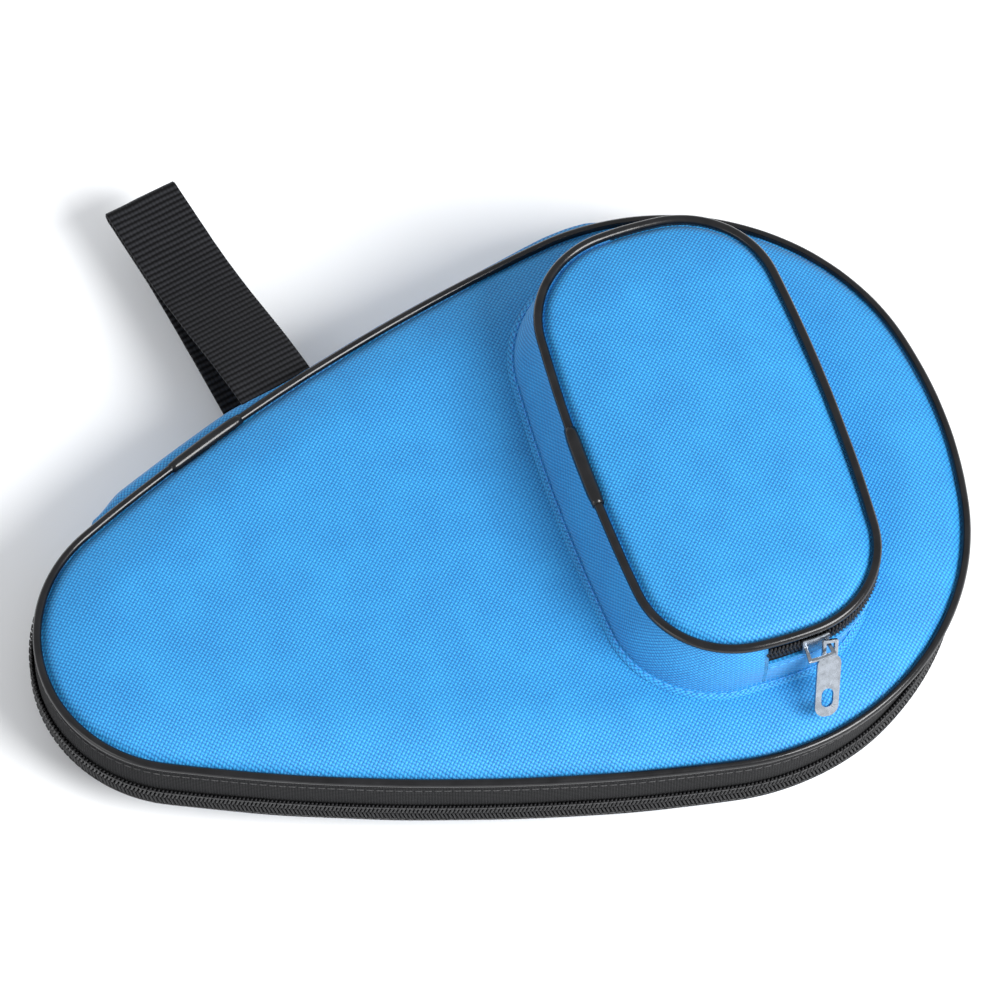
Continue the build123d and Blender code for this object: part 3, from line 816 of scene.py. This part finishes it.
# -------------------------------------------------------------------- hinge gusset
def gusset_profile(s):
    """The soft gusset bellies out, most of all near the small end and next to the slider."""
    along = (s - GUSSET_BLADE) / (GUSSET_END - GUSSET_BLADE)
    low, high = BACK_SEAM + 0.3 * MM, FRONT_SEAM - 0.3 * MM
    place = case.at(s)[0]
    belly = 5.4 * MM + 4 * MM * smooth(0.58, 0.72, along) + 1.8 * MM * (1 - smooth(0.06, 0.25, along))
    belly *= 0.5 + 0.5 * smooth(-0.01, 0.04, along)
    belly *= 1 - 0.3 * smooth(0.93, 1, along)
    line = []
    for i in range(27):
        t = i / 26
        z = low + (high - low) * t
        fold = exp(-(((t - 0.45 - 0.06 * ripple(45 * MM, *place)) / 0.1) ** 2))
        soft = 0.25 * MM * ripple(24 * MM, *place, z) * sin(pi * t)
        pucker = 0.2 * MM * ripple(5 * MM, *place, 0.2) * exp(-min(t, 1 - t) / 0.1)
        swell = belly * sin(pi * t) ** 0.32
        line.append((drawn_in(z) + 0.9 * MM + swell - 1.2 * MM * fold + soft + pucker, z))
    return line


gusset = band("gusset_cloth", case, GUSSET_BLADE, GUSSET_END, gusset_profile, FABRIC, 1.3 * MM)
finish_piece(gusset, None, "blue_fabric", blue, "hinge_gusset")
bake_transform(gusset)

# ------------------------------------------------------------------ carrying loop
base, _ = case.at(HANDLE_STATION)
HEADING = radians(102)
LOOP_LENGTH = 94 * MM
WEB_WIDTH, WEB_THICK = 25 * MM, 1.6 * MM
WALL_HALF = 15.2 * MM
out_dir = np.array((cos(HEADING), sin(HEADING), 0))
side_dir = np.array((sin(HEADING), -cos(HEADING), 0))
up_dir = np.array((0, 0, 1))


def loop_path():
    """The strap's centre line as (out, up) points, from the upper seam to the lower one."""
    fold = 1.3 * MM
    legs = []
    for root in (3.2 * MM, 4.2 * MM - BACK_INSET):
        leg = []
        for t in np.linspace(0, 1, 60):
            closing = 0.6 * smooth(0, 0.72, t) + 0.4 * min(t / 0.72, 1)
            up = WALL_HALF + (fold - WALL_HALF) * closing
            leg.append((root + (LOOP_LENGTH - fold - root) * t, up))
        legs.append(leg)
    upper, lower = legs
    turn = [(LOOP_LENGTH - fold + fold * sin(pi * k / 8), fold * cos(pi * k / 8)) for k in range(1, 8)]
    return upper + turn + [(out, -up) for out, up in reversed(lower)]


def webbing():
    path = np.array(loop_path())
    steps = np.linalg.norm(np.diff(path, axis=0), axis=1)
    length = np.concatenate(((0,), np.cumsum(steps)))
    stations = np.linspace(0, length[-1], 190)
    outs = np.interp(stations, length, path[:, 0])
    ups = np.interp(stations, length, path[:, 1])
    cols = 15
    points = np.zeros((len(stations), cols, 3))
    weave = np.zeros((len(stations), cols, 2))
    for r, (run, out, up) in enumerate(zip(stations, outs, ups)):
        for c in range(cols):
            across = (c / (cols - 1) - 0.5) * WEB_WIDTH
            sag = 0.5 * MM * ripple(30 * MM, run, across) + 0.25 * MM * ripple(8 * MM, run, across)
            points[r, c] = (*base, ZIP_Z)
            points[r, c] += out_dir * out + side_dir * across + up_dir * (up + sag)
            weave[r, c] = (across, run)
    strap = grid("strap", points, weave)
    solid = strap.modifiers.new("thickness", "SOLIDIFY")
    solid.thickness = WEB_THICK
    solid.offset = 0
    soften = strap.modifiers.new("soften", "BEVEL")
    soften.width = 0.45 * MM
    soften.segments = 2
    soften.limit_method = "ANGLE"
    soften.angle_limit = radians(50)
    return settle(strap)


strap = webbing()
finish_piece(strap, None, "webbing", ribbed, "handle_loop", "handle_sewn_ends")
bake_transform(strap)

# --------------------------------------------------------------------------- pocket
POCKET_CORD = 1.5 * MM
HEM_SEWING = 3.8 * MM
WALL_SEWING_ROW = 12
BASE_SHIFT = np.array((-5, 2.6)) * MM


def base_growth(s):
    """How far the pocket's foot leans out from its top, which has slid over to one side."""
    return float(pocket.at(s)[1] @ BASE_SHIFT)


def panel_at(x, y):
    """Height of the front panel's outer face."""
    depth = float(case.insets(np.array((x, y))))
    return FRONT_SEAM + 0.5 * MM + float(dome(depth, PANEL_TOP - FRONT_SEAM - 0.5 * MM, DOME_RUN))


def pocket_wave(s, z):
    return 0.5 * MM * ripple(18 * MM, *pocket.at(s)[0], z)


def pocket_wall_profile(s):
    x, y = pocket.at(s, base_growth(s))[0]
    foot = panel_at(x, y) + 0.2 * MM
    top = POCKET_SEAM - 0.5 * MM
    heights = [*np.linspace(foot, POCKET_ZIP_BOTTOM, 15), *np.linspace(POCKET_ZIP_BOTTOM, top, 10)[1:]]
    line = []
    for z in heights:
        t = (z - foot) / (top - foot)
        lean = 2.2 * MM * (1 - t) ** 2 + base_growth(s) * (1 - smooth(0, 0.8, t))
        swell = 1.5 * MM * sin(pi * t)
        pucker = 0.3 * MM * ripple(5 * MM, x, y, 0.4) * exp(-min(t, 1 - t) / 0.08)
        line.append((POCKET_WALL * 0.7 + lean + swell + pocket_wave(s, z) * sin(pi * t) + pucker, z))
    return line


def not_in_zip(centre):
    return centre.x < FOLD_X or centre.z < POCKET_ZIP_BOTTOM


wall_start = pocket.station_at_x(FOLD_X)
wall = band("pocket_wall_cloth", pocket, wall_start, wall_start + pocket.length, pocket_wall_profile,
            FABRIC, 1.3 * MM, not_in_zip)
finish_piece(wall, "front_shell", "blue_fabric", blue, "pocket_wall")


def hem_profile(s):
    line = []
    for out, lift in ((1.2, 1.4), (2.0, 1.0), (3.2, 0.9), (4.6, 0.85), (5.2, 0.6), (5.4, 0.1)):
        growth = base_growth(s) + out * MM
        x, y = pocket.at(s, growth)[0]
        wave = 0.15 * MM * ripple(6 * MM, x, y)
        line.append((growth, panel_at(x, y) + lift * MM + wave))
    return line[::-1]


hem = band("pocket_hem", pocket, 0, pocket.length, hem_profile, 0.6 * MM)
finish_piece(hem, "front_shell", "blue_fabric", blue, "pocket_base_hem")


def hem_sewing_growth(s):
    return base_growth(s) + HEM_SEWING


def hem_sewing_z(s):
    return panel_at(*pocket.at(s, hem_sewing_growth(s))[0]) + 1.0 * MM


hem_sewing = stitches("hem_stitches", pocket, 0, pocket.length, hem_sewing_z, hem_sewing_growth)
finish_piece(hem_sewing, "front_shell", "blue_fabric", blue_thread)


def pocket_top_height(depth, x, y):
    edge = POCKET_SEAM + 0.4 * MM
    return edge + dome(depth, 4 * MM, 24 * MM) + softness(depth, x, y, 0.5) + crease(depth)


def bend_at_fold(obj):
    """Bakes the object's placement into its mesh."""
    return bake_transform(obj)


top = slab("pocket_top", pocket, 0.4 * MM, pocket_top_height, below(pocket_top_height, FABRIC),
           step=1.8 * MM)
finish_piece(top, None, "blue_fabric", blue, "pocket_top_fixed", "pocket_top_flap")
bend_at_fold(top)

cord = rim_cord("pocket_cord", pocket, PIPING, POCKET_SEAM, POCKET_CORD)
finish_piece(cord, None, "piping", piping_skin, "pocket_piping_fixed", "pocket_piping_flap")
bend_at_fold(cord)
half = SPLICE_LENGTH / 2
middle = pocket.station(4, 180)
sleeve = rim_cord("pocket_sleeve", pocket, PIPING, POCKET_SEAM, POCKET_CORD + 0.8 * MM,
                  middle - half, middle + half, taper=0.15)
finish_piece(sleeve, "front_shell", "piping", piping_skin, "pocket_piping_splice")

# Zip of the pocket: from the fold on one side, round the blade end, to the fold on the other.
pocket_zip = (wall_start - pocket.length, 2 * pocket.station(0, 0) + pocket.length - wall_start)


def tape_between(low, high):
    """The profile of a pocket tape between two heights."""

    def profile(s):
        return [(1.0 * MM + 0.4 * pocket_wave(s, z), z) for z in np.linspace(low, high, 5)]

    return profile


lower_tape_profile = tape_between(POCKET_ZIP_BOTTOM - 0.6 * MM, POCKET_ZIP_Z - 0.8 * MM)
upper_tape_profile = tape_between(POCKET_ZIP_Z + 0.8 * MM, POCKET_SEAM - 0.6 * MM)
for side, body, profile, sign in (("lower", "front_shell", lower_tape_profile, -1),
                                  ("upper", "pocket_flap", upper_tape_profile, 1)):
    strip = band("pocket_" + side + "_tape", pocket, *pocket_zip, profile, 0.8 * MM, 1.3 * MM)
    finish_piece(strip, body, "zip_tape", zip_cloth, "pocket_" + side + "_zip_tape")
    root, reach = POCKET_ZIP_Z + sign * 2.9 * MM, POCKET_ZIP_Z - sign * 0.3 * MM
    teeth = zip_teeth("pocket_" + side + "_teeth", pocket, *pocket_zip, root, reach,
                      lambda s: 1.7 * MM, sign)
    finish_piece(teeth, body, "zip_coil", coil_nylon, "pocket_" + side + "_zip_coil")

wall_sewing = stitches("pocket_wall_stitches", pocket, *pocket_zip,
                       lambda s: POCKET_ZIP_BOTTOM - 2.6 * MM,
                       lambda s: pocket_wall_profile(s)[WALL_SEWING_ROW][0] + 0.1 * MM)
finish_piece(wall_sewing, "front_shell", "blue_fabric", blue_thread)

# ------------------------------------------------------------------ sliders and pulls
METAL = (
    ("main_slider_body", enamel, 0.35 * MM),
    ("main_pull_tab", nickel, 0.3 * MM),
    ("pocket_slider_body", nickel, 0.35 * MM),
    ("pocket_pull_tab", nickel, 0.3 * MM),
)
for node, material, softening in METAL:
    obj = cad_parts[node]
    obj.data.materials.clear()
    obj.data.materials.append(material)
    weld = obj.modifiers.new("weld", "WELD")
    weld.merge_threshold = 0.005 * MM
    bevel = obj.modifiers.new("soften", "BEVEL")
    bevel.width = softening
    bevel.segments = 3
    bevel.limit_method = "ANGLE"
    bevel.angle_limit = radians(35)
    bevel.harden_normals = False

# ------------------------------------------------------------- floor, light, camera
def area_light(name, place, aim, size, power, colour=(1, 1, 1)):
    light = bpy.data.lights.new(name, "AREA")
    light.shape = "DISK"
    light.size = size
    light.energy = power
    light.color = colour
    obj = bpy.data.objects.new(name, light)
    obj.location = place
    obj.rotation_euler = (Vector(aim) - Vector(place)).to_track_quat("-Z", "Y").to_euler()
    bpy.context.scene.collection.objects.link(obj)


FLOOR_REACH = 6.0
FLOOR_Z = -0.5 * MM
floor_corners = [(x * FLOOR_REACH, y * FLOOR_REACH, FLOOR_Z) for x, y in ((-1, -1), (1, -1), (1, 1), (-1, 1))]
floor_mesh = bpy.data.meshes.new("floor")
floor_mesh.from_pydata(floor_corners, [], [(0, 1, 2, 3)])
floor = bpy.data.objects.new("floor", floor_mesh)
bpy.context.scene.collection.objects.link(floor)
floor_paint = Shader("floor_paint", 0.9)
floor_paint.bsdf.inputs["Base Color"].default_value = (0.92, 0.93, 0.94, 1)
floor.data.materials.append(floor_paint.material)

area_light("key", (0.85, -1.15, 1.25), (0, 0, 0), 1.1, 58)
area_light("fill", (-1.4, -0.5, 0.45), (0, 0, 0), 0.9, 5)

world = bpy.data.worlds.new("studio")
bpy.context.scene.world = world
world.use_nodes = True
sky = world.node_tree.nodes["Background"]
sky.inputs["Color"].default_value = (0.97, 0.98, 1, 1)
sky.inputs["Strength"].default_value = 0.7
bpy.context.scene.view_settings.view_transform = "Standard"

AZIMUTH, ELEVATION = radians(-18.33), radians(61.66)
AIM = Vector((6.15, 14.1, 39)) * MM
CAMERA_DISTANCE = 2.8198
back = Vector((sin(AZIMUTH) * cos(ELEVATION), -cos(AZIMUTH) * cos(ELEVATION), sin(ELEVATION)))
camera_data = bpy.data.cameras.new("camera")
camera_data.lens = 324
camera_data.sensor_width = 36
camera = bpy.data.objects.new("camera", camera_data)
camera.location = AIM + back * CAMERA_DISTANCE
camera.rotation_euler = back.to_track_quat("Z", "Y").to_euler()
bpy.context.scene.collection.objects.link(camera)
bpy.context.scene.camera = camera
